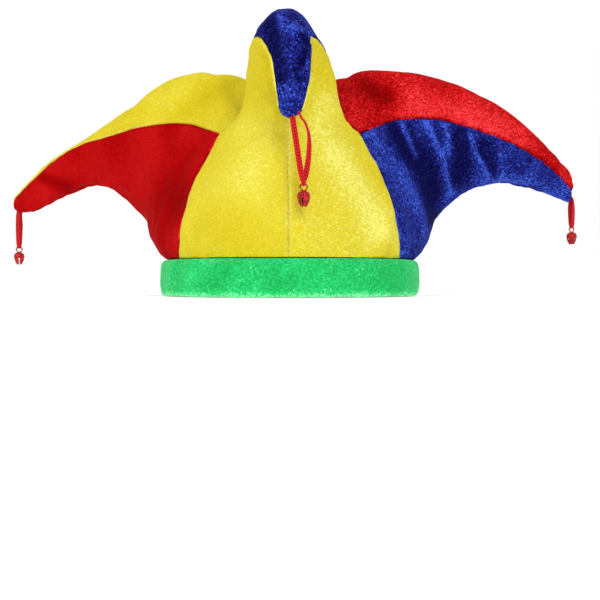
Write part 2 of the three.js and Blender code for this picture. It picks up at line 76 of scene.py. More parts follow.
camera = put("camera", bpy.data.cameras.new("camera"))
camera.data.lens = LENS
camera.data.sensor_width = 36.0
camera.data.clip_start = 0.005
camera.location = (VIEW_SIDE, -VIEW_DISTANCE, VIEW_HEIGHT)
camera.rotation_euler = (math.radians(90) + VIEW_PITCH, 0, 0)
bpy.context.scene.camera = camera


def alone(piece):
    """Leaves only this piece selected and active."""
    if bpy.context.object and bpy.context.object.mode != "OBJECT":
        bpy.ops.object.mode_set(mode="OBJECT")
    bpy.ops.object.select_all(action="DESELECT")
    piece.select_set(True)
    bpy.context.view_layer.objects.active = piece


def settle(piece):
    """Applies the piece's modifiers and its place, so that its object stands at the origin."""
    alone(piece)
    for modifier in list(piece.modifiers):
        bpy.ops.object.modifier_apply(modifier=modifier.name)
    bpy.ops.object.transform_apply(location=True, rotation=True, scale=True)


def pick(piece, kind, wanted):
    """In edit mode, selects those of the piece's verts or edges that are wanted, and nothing else."""
    bpy.ops.mesh.select_all(action="DESELECT")
    edit = bmesh.from_edit_mesh(piece.data)
    for part in {"verts": edit.verts, "edges": edit.edges}[kind]:
        part.select = wanted(part)
    bmesh.update_edit_mesh(piece.data)


def plain_material(name, color, roughness):
    """A material of one colour and one roughness."""
    material = bpy.data.materials.new(name)
    material.use_nodes = True
    shader = material.node_tree.nodes["Principled BSDF"]
    shader.inputs["Base Color"].default_value = (*color, 1)
    shader.inputs["Roughness"].default_value = roughness
    return material


bpy.ops.mesh.primitive_plane_add(size=PAPER_SIZE, location=(0, PAPER_MIDDLE, 0))
floor = bpy.context.object
floor.name = "floor"
bpy.ops.object.mode_set(mode="EDIT")
bpy.ops.mesh.select_mode(type="EDGE")
pick(floor, "edges", lambda edge: all(vert.co.y > PAPER_BACK for vert in edge.verts))
bpy.ops.mesh.extrude_region_move(TRANSFORM_OT_translate={"value": (0, 0, PAPER_RISE)})
pick(floor, "edges", lambda edge: all(vert.co.y > PAPER_BACK and vert.co.z < 0.1 for vert in edge.verts))
bpy.ops.mesh.bevel(offset=PAPER_BEND, segments=16, affect="EDGES")
settle(floor)
bpy.ops.object.shade_smooth()
paper = plain_material("white_paper", (0.93, 0.93, 0.93), 0.9)
paper.node_tree.nodes["Principled BSDF"].inputs["Emission Color"].default_value = (1, 1, 1, 1)
paper.node_tree.nodes["Principled BSDF"].inputs["Emission Strength"].default_value = PAPER_GLOW
floor.data.materials.append(paper)

for row in LIGHTS:
    lamp = bpy.data.lights.new(row["name"], "AREA")
    lamp.shape = "DISK"
    lamp.size = row["size"]
    lamp.energy = row["watts"]
    stand = put(row["name"], lamp)
    stand.location = row["place"]
    aim = LIGHT_TARGET - stand.location
    stand.rotation_euler = aim.to_track_quat("-Z", "Y").to_euler()
bpy.context.scene.view_settings.view_transform = "Standard"
world = bpy.data.worlds.new("sky")
bpy.context.scene.world = world
world.use_nodes = True
world.node_tree.nodes["Background"].inputs["Color"].default_value = (1, 1, 1, 1)
world.node_tree.nodes["Background"].inputs["Strength"].default_value = SKY_STRENGTH

# Jingle bells.
# Each is a thin pressed dome that tapers to a small flat foot, sawn crosswise from below with a round hole
# at the end of each slit, and carries a wire loop on top. All of it is dipped in glossy red paint.
BELL_WIDTH = 0.0092
BELL_HEIGHT = 0.0109
BELL_WALL = 0.0008
LOOP_WIRE = 0.0011
LOOP_OPENING = 0.0039
LOOP_RISE = BELL_HEIGHT + LOOP_OPENING / 2 + LOOP_WIRE * 0.35
LOOP_PINCH = 0.86
SLIT_LENGTH = BELL_WIDTH * 1.3
SLIT_WIDTH = 0.0009
SLIT_HOLE = 0.0009
SLIT_RISE = 0.0049
BELL_SIDES = 40
BELL_EDGE = math.radians(38)
BELL_OUTLINE = [
    {"wide": 0.36, "up": 0.0},
    {"wide": 0.47, "up": 0.012},
    {"wide": 0.52, "up": 0.05},
    {"wide": 0.78, "up": 0.24},
    {"wide": 0.98, "up": 0.56},
    {"wide": 1.0, "up": 0.66},
    {"wide": 0.9, "up": 0.82},
    {"wide": 0.62, "up": 0.95},
    {"wide": 0.26, "up": 1.0},
]


def saw(bell, cutter):
    """Takes a cutter's room out of the bell."""
    cut = bell.modifiers.new("cut", "BOOLEAN")
    cut.operation = "DIFFERENCE"
    cut.solver = "EXACT"
    cut.object = cutter
    settle(bell)
    bpy.data.objects.remove(cutter)


def bell_paint():
    """Glossy red paint, deeper where it ran thick and paler where it is worn thin."""
    material = plain_material("bell_red_paint", (0.42, 0.006, 0.010), 0.25)
    tree = material.node_tree
    shader = tree.nodes["Principled BSDF"]
    coords = tree.nodes.new("ShaderNodeTexCoord").outputs["Object"]
    runs = tree.nodes.new("ShaderNodeTexNoise")
    runs.inputs["Scale"].default_value = 420
    runs.inputs["Detail"].default_value = 3
    tree.links.new(coords, runs.inputs["Vector"])
    tone = tree.nodes.new("ShaderNodeValToRGB")
    for stop, place, color in zip(
        tone.color_ramp.elements, (0.32, 0.72), ((0.16, 0.001, 0.002, 1), (0.62, 0.008, 0.010, 1))
    ):
        stop.position = place
        stop.color = color
    tree.links.new(runs.outputs["Fac"], tone.inputs["Fac"])
    tree.links.new(tone.outputs["Color"], shader.inputs["Base Color"])
    dull = tree.nodes.new("ShaderNodeMapRange")
    dull.inputs["To Min"].default_value = 0.14
    dull.inputs["To Max"].default_value = 0.42
    tree.links.new(runs.outputs["Fac"], dull.inputs["Value"])
    tree.links.new(dull.outputs["Result"], shader.inputs["Roughness"])
    ripple = tree.nodes.new("ShaderNodeBump")
    ripple.inputs["Strength"].default_value = 0.35
    ripple.inputs["Distance"].default_value = 0.0002
    tree.links.new(runs.outputs["Fac"], ripple.inputs["Height"])
    tree.links.new(ripple.outputs["Normal"], shader.inputs["Normal"])
    shader.inputs["Metallic"].default_value = 0.0
    shader.inputs["Specular IOR Level"].default_value = 0.22
    shader.inputs["Coat Weight"].default_value = 0.08
    shader.inputs["Coat Roughness"].default_value = 0.12
    return material


bpy.ops.mesh.primitive_circle_add(
    vertices=BELL_SIDES, radius=BELL_OUTLINE[0]["wide"] * BELL_WIDTH / 2, fill_type="NGON",
    location=(0, 0, 0),
)
pattern_bell = bpy.context.object
pattern_bell.name = "pattern_bell"
bpy.ops.object.mode_set(mode="EDIT")
for below, row in zip(BELL_OUTLINE, BELL_OUTLINE[1:]):
    bpy.ops.mesh.extrude_region_move(
        TRANSFORM_OT_translate={"value": (0, 0, (row["up"] - below["up"]) * BELL_HEIGHT)}
    )
    grow = row["wide"] / below["wide"]
    bpy.ops.transform.resize(value=(grow, grow, 1), center_override=(0, 0, row["up"] * BELL_HEIGHT))
bpy.ops.mesh.select_all(action="SELECT")
bpy.ops.mesh.normals_make_consistent(inside=False)
bpy.ops.object.mode_set(mode="OBJECT")
wall = pattern_bell.modifiers.new("wall", "SOLIDIFY")
wall.thickness = BELL_WALL
wall.offset = -1
settle(pattern_bell)
for turn in (0, 90):
    bpy.ops.mesh.primitive_cube_add(size=1, rotation=(0, 0, math.radians(turn)))
    blade = bpy.context.object
    blade.scale = (SLIT_LENGTH, SLIT_WIDTH, SLIT_RISE * 2)
    settle(blade)
    saw(pattern_bell, blade)
    bpy.ops.mesh.primitive_cylinder_add(
        vertices=20, radius=SLIT_HOLE, depth=SLIT_LENGTH, location=(0, 0, SLIT_RISE),
        rotation=(0, math.radians(90), math.radians(turn)),
    )
    drill = bpy.context.object
    settle(drill)
    saw(pattern_bell, drill)
bpy.ops.mesh.primitive_torus_add(
    major_radius=(LOOP_OPENING + LOOP_WIRE) / 2, minor_radius=LOOP_WIRE / 2,
    major_segments=32, minor_segments=10, location=(0, 0, LOOP_RISE), rotation=(math.radians(90), 0, 0),
)
ring = bpy.context.object
settle(ring)
bpy.ops.object.mode_set(mode="EDIT")
bpy.ops.mesh.select_mode(type="VERT")
pick(ring, "verts", lambda vert: vert.co.z < LOOP_RISE - LOOP_OPENING / 4)
bpy.ops.transform.resize(value=(LOOP_PINCH, 1, 1), center_override=(0, 0, LOOP_RISE))
bpy.ops.object.mode_set(mode="OBJECT")
bpy.ops.object.select_all(action="DESELECT")
ring.select_set(True)
pattern_bell.select_set(True)
bpy.context.view_layer.objects.active = pattern_bell
bpy.ops.object.join()
alone(pattern_bell)
bpy.ops.object.shade_smooth_by_angle(angle=BELL_EDGE)
pattern_bell.data.materials.append(bell_paint())

# Braid loops.
# A length of flat red braid, 4 mm wide and 1.3 mm thick, is sewn into the tip of each horn by both ends and
# passes through its bell's wire loop. It hangs limp; on the front horn one strand bows out and turns on edge.
BRAID_WIDTH = 0.0040
BRAID_THICKNESS = 0.0013
BRAID_TURN = (LOOP_WIRE + BRAID_THICKNESS) / 2
BRAID_PITCH = 0.0021
BRAID_STEPS = 150
BRAID_SIDES = 12
BRAID_ROUND = 0.7
BRAID_GATHERED = 0.62
GATHER_REACH = 0.09
CURVE_STEPS = 12
FRONT_STRANDS = {
    "straight": [
        {"down": 0.0, "aside": -2.05},
        {"down": 0.12, "aside": -1.83},
        {"down": 0.28, "aside": -1.5},
        {"down": 0.52, "aside": -1.05},
        {"down": 0.76, "aside": -0.55},
    ],
    "bowed": [
        {"down": -0.031, "aside": -0.6},
        {"down": 0.08, "aside": 0.36},
        {"down": 0.26, "aside": 0.98},
        {"down": 0.5, "aside": 0.96},
        {"down": 0.76, "aside": 0.55},
    ],
}
SIDE_STRANDS = {
    "straight": [
        {"down": 0.0, "aside": -0.58},
        {"down": 0.3, "aside": -0.72},
        {"down": 0.62, "aside": -0.42},
    ],
    "bowed": [
        {"down": 0.0, "aside": 0.58},
        {"down": 0.3, "aside": 0.86},
        {"down": 0.62, "aside": 0.5},
    ],
}
HANGING = [
    {"name": "front", "top": (0.00849, -0.10167, 0.12192), "hold": (-0.0010, 0.0, 0.0045),
     "drop": 0.0465, "bow": 0.00365, "strands": FRONT_STRANDS, "spread": 0, "through": 90, "swing": -10,
     "twist": [(0, 0), (0.6, 0), (0.86, 72), (1, 76)]},
    {"name": "left", "top": (-0.24192, 0.10358, 0.07013), "hold": (0.0010, 0.0, 0.0045),
     "drop": 0.0305, "bow": 0.0029, "strands": SIDE_STRANDS, "spread": 78, "through": 78, "swing": 25,
     "twist": [(0, 10), (0.4, 0), (0.7, 0), (1, 25)]},
    {"name": "right", "top": (0.24641, 0.10633, 0.08401), "hold": (-0.0030, 0.0, 0.0038),
     "drop": 0.0265, "bow": 0.0029, "strands": SIDE_STRANDS, "spread": -72, "through": -72, "swing": 8,
     "twist": [(0, 60), (0.25, 25), (0.5, 0), (0.75, 25), (1, 60)]},
]


def loop_route(row):
    """The points of one loop: out of the tip, down, round the bell's wire, and up into the tip again."""
    spread = Vector((math.cos(math.radians(row["spread"])), math.sin(math.radians(row["spread"])), 0))
    through = Vector((math.cos(math.radians(row["through"])), math.sin(math.radians(row["through"])), 0))

    def place(aside, along, down):
        return Vector(row["top"]) + spread * aside + through * along - Vector((0, 0, down))

    def strand(side, name):
        return [
            place(p["aside"] * row["bow"], side * p["down"] * BRAID_TURN, p["down"] * row["drop"])
            for p in row["strands"][name]
        ]

    wire = row["drop"] - (LOOP_OPENING + LOOP_WIRE) / 2
    turn = []
    for degrees in (90, 54, 27, 0, -27, -54, -90):
        a = math.radians(degrees)
        turn.append(place(0, -BRAID_TURN * math.sin(a), wire + BRAID_TURN * math.cos(a)))
    straight, bowed = strand(-1, "straight"), strand(1, "bowed")
    hidden = Vector(row["hold"])
    return [straight[0] + hidden, *straight, *turn, *reversed(bowed), bowed[0] + hidden]


def smooth_route(points, steps):
    """The same route with steps even stretches, smoothly curved."""
    fine = []
    for k in range(len(points) - 1):
        a = points[k - 1] if k else points[0] * 2 - points[1]
        d = points[k + 2] if k + 2 < len(points) else points[-1] * 2 - points[-2]
        b, c = points[k], points[k + 1]
        for n in range(CURVE_STEPS):
            f = n / CURVE_STEPS
            slope, curve, rest = c - a, 2 * a - 5 * b + 4 * c - d, 3 * b - a - 3 * c + d
            fine.append(0.5 * (2 * b + slope * f + curve * f * f + rest * f ** 3))
    fine.append(points[-1])
    lengths = [0.0]
    for a, b in zip(fine, fine[1:]):
        lengths.append(lengths[-1] + (b - a).length)
    even = []
    for n in range(steps + 1):
        at = lengths[-1] * n / steps
        k = min(max(j for j in range(len(lengths)) if lengths[j] <= at), len(fine) - 2)
        f = (at - lengths[k]) / max(lengths[k + 1] - lengths[k], 1e-9)
        even.append(fine[k].lerp(fine[k + 1], f))
    return even, lengths[-1]


def mixed(tree, kind, first, second=0.0):
    """One sum of two numbers or sockets."""
    node = tree.nodes.new("ShaderNodeMath")
    node.operation = kind
    for socket, value in zip(node.inputs, (first, second)):
        if isinstance(value, (int, float)):
            socket.default_value = value
        else:
            tree.links.new(value, socket)
    return node.outputs[0]


def braid_yarn():
    """Red yarn plaited in a herringbone: slanting strands that meet along the middle of the braid."""
    material = plain_material("braid_red", (0.6, 0.01, 0.02), 0.55)
    tree = material.node_tree
    shader = tree.nodes["Principled BSDF"]
    weave = tree.nodes.new("ShaderNodeUVMap")
    weave.uv_map = "weave"
    parts = tree.nodes.new("ShaderNodeSeparateXYZ")
    tree.links.new(weave.outputs["UV"], parts.inputs["Vector"])
    aside = mixed(tree, "ABSOLUTE", mixed(tree, "SUBTRACT", parts.outputs["X"], 0.5))
    slant = mixed(tree, "ADD", parts.outputs["Y"], mixed(tree, "MULTIPLY", aside, 1.7))
    wave = mixed(tree, "SINE", mixed(tree, "MULTIPLY", slant, 2 * math.pi))
    ridge = mixed(tree, "ADD", mixed(tree, "MULTIPLY", wave, 0.5), 0.5)
    middle = mixed(tree, "SMOOTH_MIN", mixed(tree, "MULTIPLY", aside, 9.0), 1.0)
    height = mixed(tree, "MULTIPLY", ridge, middle)
    # The colour follows the plait's height: painted shade in the grooves between the strands and along the
    # middle where they meet.
    tone = tree.nodes.new("ShaderNodeValToRGB")
    tone.color_ramp.elements[0].position = 0.05
    tone.color_ramp.elements[0].color = (0.28, 0.002, 0.004, 1)
    tone.color_ramp.elements[1].position = 0.95
    tone.color_ramp.elements[1].color = (0.74, 0.030, 0.035, 1)
    stop = tone.color_ramp.elements.new(0.5)
    stop.color = (0.56, 0.004, 0.010, 1)
    tree.links.new(height, tone.inputs["Fac"])
    tree.links.new(tone.outputs["Color"], shader.inputs["Base Color"])
    relief = tree.nodes.new("ShaderNodeBump")
    relief.inputs["Strength"].default_value = 0.8
    relief.inputs["Distance"].default_value = 0.0003
    tree.links.new(height, relief.inputs["Height"])
    tree.links.new(relief.outputs["Normal"], shader.inputs["Normal"])
    shader.inputs["Specular IOR Level"].default_value = 0.08
    shader.inputs["Sheen Weight"].default_value = 0.04
    return material


def braid(row):
    """A flat braid along its route, gathered where it passes the bell's wire."""
    route, length = smooth_route(loop_route(row), BRAID_STEPS)
    a = math.radians(row["through"])
    flat = Vector((math.sin(a), -math.cos(a), 0))
    shape = bmesh.new()
    weave = shape.loops.layers.uv.new("weave")
    rings = []
    for n, point in enumerate(route):
        way = (route[min(n + 1, len(route) - 1)] - route[max(n - 1, 0)]).normalized()
        out = (flat - way * flat.dot(way)).normalized()
        share = n / (len(route) - 1)
        turn = math.radians(np.interp(share, *zip(*row["twist"])))
        wide = out * math.cos(turn) + way.cross(out) * math.sin(turn)
        thin = way.cross(wide)
        near = min(1.0, abs(share - 0.5) / GATHER_REACH)
        width = BRAID_WIDTH * (BRAID_GATHERED + (1 - BRAID_GATHERED) * near * near * (3 - 2 * near))
        ring = []
        for k in range(BRAID_SIDES):
            b = 2 * math.pi * k / BRAID_SIDES
            x = math.copysign(abs(math.cos(b)) ** BRAID_ROUND, math.cos(b)) / 2
            y = math.copysign(abs(math.sin(b)) ** BRAID_ROUND, math.sin(b)) / 2
            ring.append((shape.verts.new(point + wide * x * width + thin * y * BRAID_THICKNESS), x + 0.5))
        rings.append(ring)
    for n, (one, two) in enumerate(zip(rings, rings[1:])):
        low_at, high_at = (length * (n + step) / (len(route) - 1) / BRAID_PITCH for step in (0, 1))
        for k in range(BRAID_SIDES):
            j = (k + 1) % BRAID_SIDES
            face = shape.faces.new((one[k][0], one[j][0], two[j][0], two[k][0]))
            spots = ((one[k][1], low_at), (one[j][1], low_at), (two[j][1], high_at), (two[k][1], high_at))
            for loop, spot in zip(face.loops, spots):
                loop[weave].uv = spot
    shape.faces.new([vert for vert, _ in rings[0]][::-1])
    shape.faces.new([vert for vert, _ in rings[-1]])
    bmesh.ops.recalc_face_normals(shape, faces=shape.faces)
    piece = put(f"{row['name']}_braid", bpy.data.meshes.new(f"{row['name']}_braid"))
    shape.to_mesh(piece.data)
    shape.free()
    alone(piece)
    bpy.ops.object.shade_smooth()
    return piece, route, length


BRAID_RED = braid_yarn()
for row in HANGING:
    name = row["name"]
    bell = put(f"{name}_jingle_bell", pattern_bell.data.copy())
    top = Vector(row["top"])
    bell.location = top - Vector((0, 0, row["drop"] + LOOP_RISE))
    bell.rotation_euler = (0, 0, math.radians(row["through"] + 90 + row["swing"]))
    settle(bell)
    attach(bell, "root")
    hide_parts(f"{name}_bell")
    piece, route, length = braid(row)
    piece.data.materials.append(BRAID_RED)
    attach(piece, "root")
    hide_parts(f"{name}_ribbon")
bpy.data.objects.remove(pattern_bell)

# Velvet shell.
# Nine panels of short-pile velvet backed with thin wadding: a two-part outer face and a one-part inner panel
# on each of the three horns. They are sewn inside out, so every seam lies in a soft puckered valley.
# Along its seams a panel's colour turns paler by its last number where that is above 0, a painted sheen, and
# darker where it is below 0, a painted seam shadow.
PANELS = [
    {"node": "front_horn_face_left", "slot": "velvet_yellow", "sparkle": 0.30, "rim": 0.35},
    {"node": "front_horn_face_right", "slot": "velvet_yellow", "sparkle": 0.40, "rim": 0.35},
    {"node": "front_horn_back", "slot": "velvet_blue", "sparkle": 0.85, "rim": -0.35},
    {"node": "left_horn_face_front", "slot": "velvet_red", "sparkle": 0.08, "rim": -0.15},
    {"node": "left_horn_face_back", "slot": "velvet_red", "sparkle": 0.08, "rim": -0.15},
    {"node": "left_horn_top", "slot": "velvet_yellow", "sparkle": 0.35, "rim": 0.35},
    {"node": "right_horn_face_front", "slot": "velvet_blue", "sparkle": 0.75, "rim": 0.1},
    {"node": "right_horn_face_back", "slot": "velvet_blue", "sparkle": 0.75, "rim": 0.1},
    {"node": "right_horn_top", "slot": "velvet_red", "sparkle": 0.5, "rim": -0.3},
]
CLOTH_THICKNESS = 0.0020
TIP_THIN = 0.15
SKIN_ANGLE = math.radians(40)
FLAT_ENOUGH = math.radians(60)
SQUARE_ENOUGH = math.radians(90)
SAME_PLACE = 1e-5
WELDS = [
    {"from": 0.004, "to": 9.0, "reach": 0.0016},
    {"from": 0.0, "to": 0.004, "reach": 0.0010},
    {"from": 0.012, "to": 0.022, "reach": 0.0026},
]
TIP_ROUND = 0.010
TIP_STRETCH = 0.016
TIP_FULL = 0.040
TIPS = [
    {"place": (-0.00100, -0.10263, 0.12226), "panel": "front_horn_back", "cap": 0.0085, "fair": 0.045,
     "pull": (0, 0, -0.0022)},
    {"place": (-0.24705, 0.10565, 0.07348), "panel": "left_horn_face_front", "cap": 0.0, "fair": 0.080,
     "pull": (0, 0, 0)},
    {"place": (0.24574, 0.10667, 0.08468), "panel": "right_horn_top", "cap": 0.0045, "fair": 0.050,
     "pull": (0.0048, 0, -0.0062)},
]
band_low, band_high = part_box("band")
AXIS = ((band_low[0] + band_high[0]) / 2, (band_low[1] + band_high[1]) / 2)
CROWN_TOP = 0.1513
VALLEY_SLOPE = 0.446
VALLEY_ROOM = 0.0008
JUNCTION_RADIUS = 0.064
OPEN_BELOW = 0.05
SEAM_ROUNDS = 4


def to_tip(place):
    """How far a place is from the tip of the nearest horn."""
    return min((place - Vector(tip["place"])).length for tip in TIPS)


def round_off(piece, levels, boundary="ALL"):
    """Subdivides and smooths a piece."""
    smooth = piece.modifiers.new("smooth", "SUBSURF")
    smooth.levels = smooth.render_levels = levels
    smooth.boundary_smooth = boundary
    settle(piece)


def outer_skin(node):
    """The outside of a panel as an open sheet, from a merged copy of its solid."""
    copy = put(f"{node}_skin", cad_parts[node].data.copy())
    alone(copy)
    bpy.ops.object.mode_set(mode="EDIT")
    bpy.ops.mesh.select_all(action="SELECT")
    bpy.ops.mesh.remove_doubles(threshold=SAME_PLACE)
    bpy.ops.mesh.select_mode(type="EDGE")
    bpy.ops.mesh.select_all(action="DESELECT")
    bpy.ops.mesh.edges_select_sharp(sharpness=SKIN_ANGLE)
    bpy.ops.mesh.edge_split(type="EDGE")
    bpy.ops.mesh.separate(type="LOOSE")
    bpy.ops.object.mode_set(mode="OBJECT")
    parts = list(bpy.context.selected_objects)
    skin = max(parts, key=lambda part: sum(face.area for face in part.data.polygons))
    for part in parts:
        if part is not skin:
            bpy.data.objects.remove(part)
    return skin


skins = []
for number, row in enumerate(PANELS):
    skin = outer_skin(row["node"])
    if row["node"] == "front_horn_back":
        # Its wall meets the two valleys of the crown with hardly a bend, so it comes off by its place.
        alone(skin)
        bpy.ops.object.mode_set(mode="EDIT")
        bpy.ops.mesh.select_mode(type="VERT")
        bpy.ops.mesh.select_all(action="DESELECT")
        bpy.ops.mesh.select_non_manifold(extend=False)
        edit = bmesh.from_edit_mesh(skin.data)
        for vert in edit.verts:
            radius = math.hypot(vert.co.x - AXIS[0], vert.co.y - AXIS[1])
            valley = CROWN_TOP - VALLEY_SLOPE * radius - VALLEY_ROOM
            if radius > JUNCTION_RADIUS or vert.co.z > valley:
                vert.select = False
        edit.select_flush_mode()
        bmesh.update_edit_mesh(skin.data)
        bpy.ops.mesh.delete(type="VERT")
        bpy.ops.object.mode_set(mode="OBJECT")
    which = skin.data.attributes.new("panel", "INT", "FACE")
    which.data.foreach_set("value", np.full(len(skin.data.polygons), number, dtype=np.int32))
    skins.append(skin)
bpy.ops.object.select_all(action="DESELECT")
for skin in skins:
    skin.select_set(True)
bpy.context.view_layer.objects.active = skins[0]
bpy.ops.object.join()
shell = bpy.context.object
shell.name = "shell"
shell.data.materials.clear()
bpy.ops.object.mode_set(mode="EDIT")
bpy.ops.mesh.select_mode(type="VERT")
for weld in WELDS:
    bpy.ops.mesh.select_all(action="DESELECT")
    bpy.ops.mesh.select_non_manifold(extend=False)
    edit = bmesh.from_edit_mesh(shell.data)
    for vert in edit.verts:
        if vert.select and not weld["from"] <= to_tip(vert.co) < weld["to"]:
            vert.select = False
    edit.select_flush_mode()
    bmesh.update_edit_mesh(shell.data)
    bpy.ops.mesh.remove_doubles(threshold=weld["reach"])
bpy.ops.mesh.select_mode(type="EDGE")
bpy.ops.mesh.select_all(action="DESELECT")
edit = bmesh.from_edit_mesh(shell.data)
layer = edit.faces.layers.int["panel"]
for edge in edit.edges:
    edge.select = len({face[layer] for face in edge.link_faces}) > 1
bmesh.update_edit_mesh(shell.data)
bpy.ops.mesh.mark_seam()
bpy.ops.mesh.select_all(action="SELECT")
bpy.ops.mesh.tris_convert_to_quads(face_threshold=FLAT_ENOUGH, shape_threshold=SQUARE_ENOUGH, seam=True)
pick(shell, "edges", lambda edge: edge.is_boundary and all(vert.co.z > OPEN_BELOW for vert in edge.verts))
edit = bmesh.from_edit_mesh(shell.data)
layer = edit.faces.layers.int["panel"]
for face in edit.faces:
    face[layer] += 1
bmesh.update_edit_mesh(shell.data)
bpy.ops.mesh.fill_holes(sides=0)
edit = bmesh.from_edit_mesh(shell.data)
layer = edit.faces.layers.int["panel"]
names = [row["node"] for row in PANELS]
for face in edit.faces:
    middle = face.calc_center_median()
    tip = min(TIPS, key=lambda tip: (middle - Vector(tip["place"])).length)
    capped = (middle - Vector(tip["place"])).length < tip["cap"]
    face[layer] = names.index(tip["panel"]) if capped or not face[layer] else face[layer] - 1
bpy.ops.mesh.select_mode(type="VERT")
pick(shell, "verts", lambda vert: to_tip(vert.co) < TIP_ROUND)
bpy.ops.mesh.vertices_smooth(factor=0.5, repeat=2)
edit = bmesh.from_edit_mesh(shell.data)
layer = edit.faces.layers.int["panel"]
for vert in edit.verts:
    for tip in TIPS:
        near = 1 - (vert.co - Vector(tip["place"])).length / TIP_STRETCH
        if near > 0:
            vert.co += Vector(tip["pull"]) * near * near * (3 - 2 * near)
for _ in range(SEAM_ROUNDS):
    evened = []
    for vert in edit.verts:
        sewn = [edge for edge in vert.link_edges if len({face[layer] for face in edge.link_faces}) > 1]
        close = max(1 - (vert.co - Vector(tip["place"])).length / tip["fair"] for tip in TIPS)
        if close > 0 and len(sewn) == 2:
            a, b = (edge.other_vert(vert).co for edge in sewn)
            evened.append((vert, vert.co.lerp((a + b) / 2, min(0.5, 2 * close))))
    for vert, place in evened:
        vert.co = place
bmesh.update_edit_mesh(shell.data)
bpy.ops.object.mode_set(mode="OBJECT")
round_off(shell, 2, "PRESERVE_CORNERS")

CLOTH_MASS = 0.002
CLOTH_BENDING = 0.6
CLOTH_FRAMES = 14
START_WAVES = 45
START_HEIGHT = 0.0012
START_REACH = 0.012
SLACK = 0.25
SLACK_AT_SEAM = 0.0002
SHELL_FULLNESS = 0.03
SHELL_PRESSURE = 0.0
SHELL_MOST = 0.0025
SHELL_FOOT = 0.0295
SEAM_HELD = 0.0006


def points(piece, what):
    """A row of three numbers for each of the piece's vertices: its place ("co") or its "normal"."""
    values = np.zeros(len(piece.data.vertices) * 3)
    piece.data.vertices.foreach_get(what, values)
    return values.reshape(-1, 3)


def puff(piece, held, far, fullness, pressure, most):
    """Lets the cloth, cut a little larger than its seams, buckle between them. held are the sewn points, far
    is how far each point lies from them, and most is how far it may move."""
    places = points(piece, "co")
    normals = points(piece, "normal")
    sewn = piece.vertex_groups.new(name="sewn")
    sewn.add([int(n) for n in np.nonzero(held)[0]], 1.0, "REPLACE")
    start = np.array([noise.noise(Vector(p) * START_WAVES, noise_basis="PERLIN_ORIGINAL") for p in places])
    moved = places + normals * (start * START_HEIGHT * np.clip(far / START_REACH, 0, 1))[:, None]
    piece.data.vertices.foreach_set("co", moved.ravel())
    cloth = piece.modifiers.new("cloth", "CLOTH")
    cloth.settings.quality = 6
    cloth.settings.mass = CLOTH_MASS
    cloth.settings.tension_stiffness = 20
    cloth.settings.compression_stiffness = 20
    cloth.settings.shear_stiffness = 8
    cloth.settings.bending_stiffness = CLOTH_BENDING
    cloth.settings.air_damping = 2
    cloth.settings.vertex_group_mass = "sewn"
    cloth.settings.shrink_min = -fullness
    cloth.settings.use_pressure = True
    cloth.settings.uniform_pressure_force = pressure
    cloth.settings.effector_weights.gravity = 0
    cloth.collision_settings.use_collision = False
    cloth.point_cache.frame_start = 1
    cloth.point_cache.frame_end = CLOTH_FRAMES
    for number in range(1, CLOTH_FRAMES + 1):
        bpy.context.scene.frame_set(number)
    alone(piece)
    bpy.ops.object.modifier_apply(modifier="cloth")
    bpy.context.scene.frame_set(1)
    way = points(piece, "co") - places
    length = np.linalg.norm(way, axis=1)
    allowed = np.minimum(most, SLACK * far + SLACK_AT_SEAM)
    share = allowed * np.tanh(length / allowed) / np.maximum(length, 1e-9)
    piece.data.vertices.foreach_set("co", (places + way * share[:, None]).ravel())
    piece.data.update()


def seam_distances(shape):
    """For each point of a bmesh, the nearest place on a seam between two panels, and how far away it is."""
    layer = shape.faces.layers.int["panel"]
    seam = [v for v in shape.verts if len({face[layer] for face in v.link_faces}) > 1]
    tree = kdtree.KDTree(len(seam))
    for n, vert in enumerate(seam):
        tree.insert(vert.co, n)
    tree.balance()
    found = [tree.find(vert.co) for vert in shape.verts]
    return [near for near, _, _ in found], np.array([distance for _, _, distance in found])


shape = bmesh.new()
shape.from_mesh(shell.data)
_, far = seam_distances(shape)
shape.free()
low_edge = points(shell, "co")[:, 2] < SHELL_FOOT
puff(shell, (far < SEAM_HELD) | low_edge, far, SHELL_FULLNESS, SHELL_PRESSURE, SHELL_MOST)
round_off(shell, 1, "PRESERVE_CORNERS")
